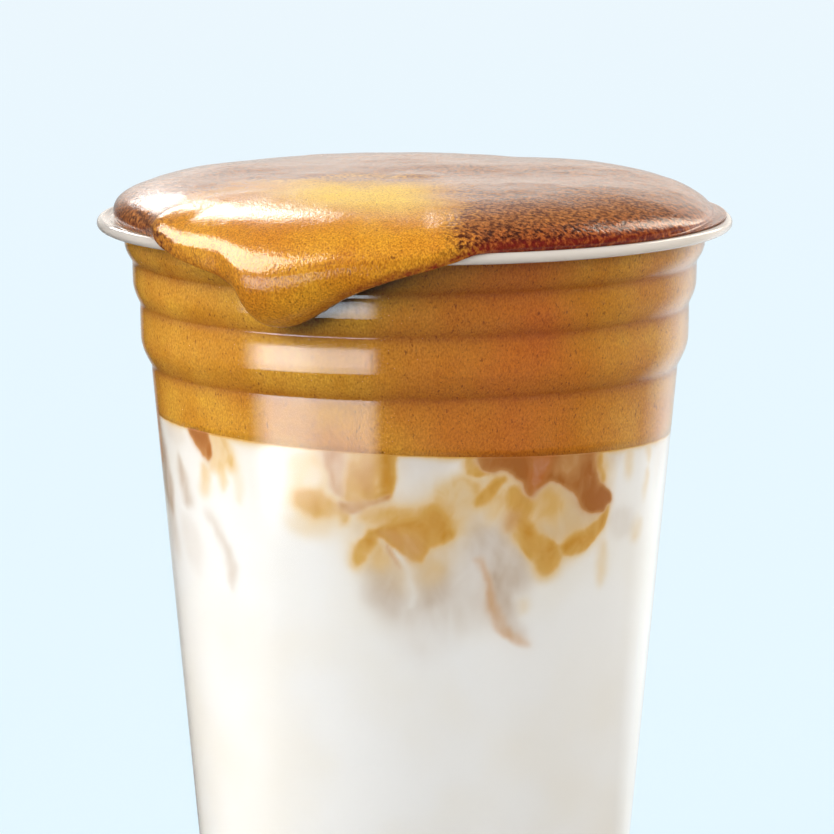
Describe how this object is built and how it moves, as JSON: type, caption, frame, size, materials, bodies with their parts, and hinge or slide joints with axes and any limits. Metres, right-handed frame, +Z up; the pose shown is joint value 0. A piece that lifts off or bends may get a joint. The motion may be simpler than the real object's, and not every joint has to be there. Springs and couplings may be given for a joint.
{
  "type": "iced latte in a clear cup",
  "caption": "Iced latte: white milk under golden coffee foam in a clear plastic cup with stepped shoulders, the foam domed over the rim and spilling down one side.",
  "frame": {"origin": "centre of the cup's ring foot, on the surface it stands on", "axes": "+Z up along the cup's axis; -Y is the front, where the foam spills over the rim left of the middle; +X is the right"},
  "size_m": [0.098, 0.0993, 0.1275],
  "materials": {
    "clear_cup": "clear thermoformed plastic, glossy",
    "milk": "cold whole milk seen through the wall, with coffee wisps near the top",
    "coffee_foam": "dense whipped coffee foam, golden brown with fine dark pits and a moist skin on top"
  },
  "bodies": {
    "root": {"cup": "clear_cup", "milk": "milk", "coffee_foam": "coffee_foam"}
  },
  "joints": []
}
